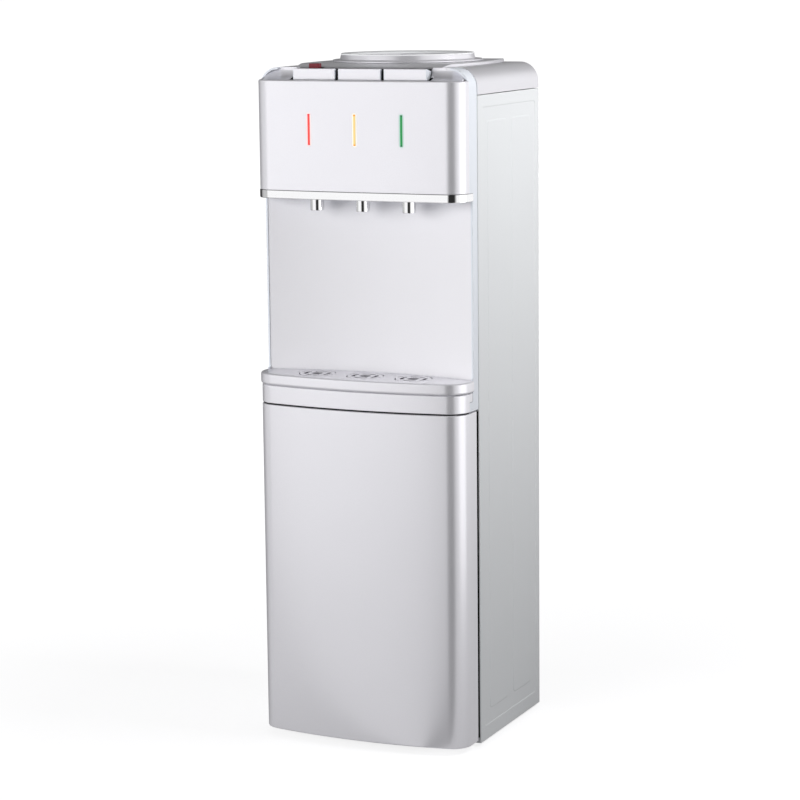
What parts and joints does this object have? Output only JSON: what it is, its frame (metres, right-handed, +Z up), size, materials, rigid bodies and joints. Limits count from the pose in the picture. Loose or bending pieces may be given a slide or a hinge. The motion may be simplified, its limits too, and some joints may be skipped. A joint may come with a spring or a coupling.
{
  "type": "floor water dispenser",
  "caption": "Narrow floor-standing water dispenser with a top bottle seat, piano keys, an open tap alcove, a lift-out drip tray and a bowed storage door.",
  "frame": {"origin": "centre of the footprint, on the floor", "axes": "+Z up, the front faces -Y, +X to the right of someone facing the front"},
  "size_m": [0.306, 0.312, 0.925],
  "materials": {
    "silver_paint": "silver painted plastic, satin gloss",
    "pale_plastic": "bluish white moulded plastic",
    "white_plastic": "white moulded plastic",
    "painted_steel": "light grey painted sheet, fine satin",
    "chrome": "bright plated",
    "stainless": "drawn stainless sheet",
    "zinc_steel": "bright zinc plated",
    "black_steel": "black paint",
    "black_rubber": "matt",
    "black_plastic": "fine texture",
    "copper": "drawn copper",
    "foam": "expanded foam",
    "silicone": "milky hose",
    "lock_red": "dark red",
    "lamp_red": "lit red lens",
    "lamp_yellow": "lit yellow lens",
    "lamp_green": "lit green lens",
    "board_green": "circuit board"
  },
  "bodies": {
    "cabinet": {"base_plate": "zinc_steel", "left_side_panel": "painted_steel", "right_side_panel": "painted_steel", "back_panel": "painted_steel", "front_frame": "pale_plastic", "top_cover": "silver_paint", "head_panel": "silver_paint", "chrome_strip": "chrome", "tap_plate": "pale_plastic", "alcove_panel": "white_plastic", "tray_housing": "silver_paint", "upper_hinge_pin": "zinc_steel", "lower_hinge_bracket": "zinc_steel", "door_magnet": "black_rubber", "cabinet_liner": "white_plastic", "cold_tank": "stainless", "tank_insulation": "foam", "tank_shelf": "zinc_steel", "hot_tank": "stainless", "hot_tank_bracket": "zinc_steel", "compressor": "black_steel", "suction_pipe": "copper", "discharge_pipe": "copper", "condenser": "black_steel", "control_box": "zinc_steel", "drain_pipe": "white_plastic", "cord_gland": "black_rubber", "key_shaft": "zinc_steel", "key_carrier": "zinc_steel", "hot_light": "lamp_red", "power_light": "lamp_yellow", "cold_light": "lamp_green", "indicator_board": "board_green", "hot_tap": "chrome", "hot_tube": "silicone", "room_tap": "chrome", "room_tube": "silicone", "cold_tap": "chrome", "cold_tube": "silicone", "foot_front_left": "black_rubber", "foot_front_right": "black_rubber", "foot_rear_left": "black_rubber", "foot_rear_right": "black_rubber"},
    "door": {"door_shell": "silver_paint", "door_liner": "white_plastic"},
    "hot_key": {"hot_key": "silver_paint"},
    "room_key": {"room_key": "silver_paint"},
    "cold_key": {"cold_key": "silver_paint"},
    "hot_plunger": {"hot_plunger": "white_plastic"},
    "room_plunger": {"room_plunger": "white_plastic"},
    "cold_plunger": {"cold_plunger": "white_plastic"},
    "child_lock": {"child_lock": "lock_red"},
    "drip_tray": {"drip_tray": "silver_paint"},
    "drip_grille": {"drip_grille": "silver_paint"},
    "bottle_collar": {"bottle_collar": "pale_plastic"},
    "water_guard": {"water_guard": "pale_plastic"},
    "hot_switch": {"hot_switch": "black_plastic"},
    "cold_switch": {"cold_switch": "black_plastic"},
    "drain_plug": {"drain_plug": "silicone"},
    "drain_cap": {"drain_cap": "white_plastic"}
  },
  "joints": [
    {"name": "door_swing", "type": "hinge", "parent": "cabinet", "child": "door", "pos_m": [-0.143, -0.1, 0.235], "axis": [0, 0, -1], "range_deg": [0, 110]},
    {"name": "hot_key_press", "type": "hinge", "parent": "cabinet", "child": "hot_key", "pos_m": [-0.0658, -0.078, 0.898], "axis": [1, 0, 0], "range_deg": [0, 5], "stiffness_Nm_per_rad": 1, "springref_deg": -8.59},
    {"name": "room_key_press", "type": "hinge", "parent": "cabinet", "child": "room_key", "pos_m": [0, -0.078, 0.898], "axis": [1, 0, 0], "range_deg": [0, 5], "stiffness_Nm_per_rad": 1, "springref_deg": -8.59},
    {"name": "cold_key_press", "type": "hinge", "parent": "cabinet", "child": "cold_key", "pos_m": [0.0658, -0.078, 0.898], "axis": [1, 0, 0], "range_deg": [0, 5], "stiffness_Nm_per_rad": 1, "springref_deg": -8.59},
    {"name": "hot_plunger_travel", "type": "slide", "parent": "cabinet", "child": "hot_plunger", "axis": [0, 0, -1], "range_m": [0, 0.0036]},
    {"name": "room_plunger_travel", "type": "slide", "parent": "cabinet", "child": "room_plunger", "axis": [0, 0, -1], "range_m": [0, 0.0036]},
    {"name": "cold_plunger_travel", "type": "slide", "parent": "cabinet", "child": "cold_plunger", "axis": [0, 0, -1], "range_m": [0, 0.0036]},
    {"name": "child_lock_slide", "type": "slide", "parent": "cabinet", "child": "child_lock", "axis": [0, 1, 0], "range_m": [0, 0.004], "stiffness_N_per_m": 80, "springref_m": -0.002},
    {"name": "tray_lift", "type": "slide", "parent": "cabinet", "child": "drip_tray", "axis": [0, 0, 1], "range_m": [0, 0.06]},
    {"name": "grille_lift", "type": "slide", "parent": "drip_tray", "child": "drip_grille", "axis": [0, 0, 1], "range_m": [0, 0.04]},
    {"name": "collar_lift", "type": "slide", "parent": "cabinet", "child": "bottle_collar", "axis": [0, 0, 1], "range_m": [0, 0.05]},
    {"name": "guard_lift", "type": "slide", "parent": "bottle_collar", "child": "water_guard", "axis": [0, 0, 1], "range_m": [0, 0.06]},
    {"name": "hot_switch_rock", "type": "hinge", "parent": "cabinet", "child": "hot_switch", "pos_m": [-0.028, 0.1281, 0.645], "axis": [1, 0, 0], "range_deg": [0, 20]},
    {"name": "cold_switch_rock", "type": "hinge", "parent": "cabinet", "child": "cold_switch", "pos_m": [0.028, 0.1281, 0.645], "axis": [1, 0, 0], "range_deg": [0, 20]},
    {"name": "drain_plug_travel", "type": "slide", "parent": "cabinet", "child": "drain_plug", "axis": [0, 1, 0], "range_m": [0, 0.005]},
    {"name": "drain_cap_turn", "type": "hinge", "parent": "drain_plug", "child": "drain_cap", "pos_m": [0, 0.139, 0.483], "axis": [0, 1, 0], "range_deg": [0, 740]}
  ],
  "couplings": [
    {"joint": "hot_plunger_travel", "follows": "hot_key_press", "m_per_rad": 0.038},
    {"joint": "room_plunger_travel", "follows": "room_key_press", "m_per_rad": 0.038},
    {"joint": "cold_plunger_travel", "follows": "cold_key_press", "m_per_rad": 0.038},
    {"joint": "drain_cap_turn", "follows": "drain_plug_travel", "rad_per_m": 2513}
  ]
}
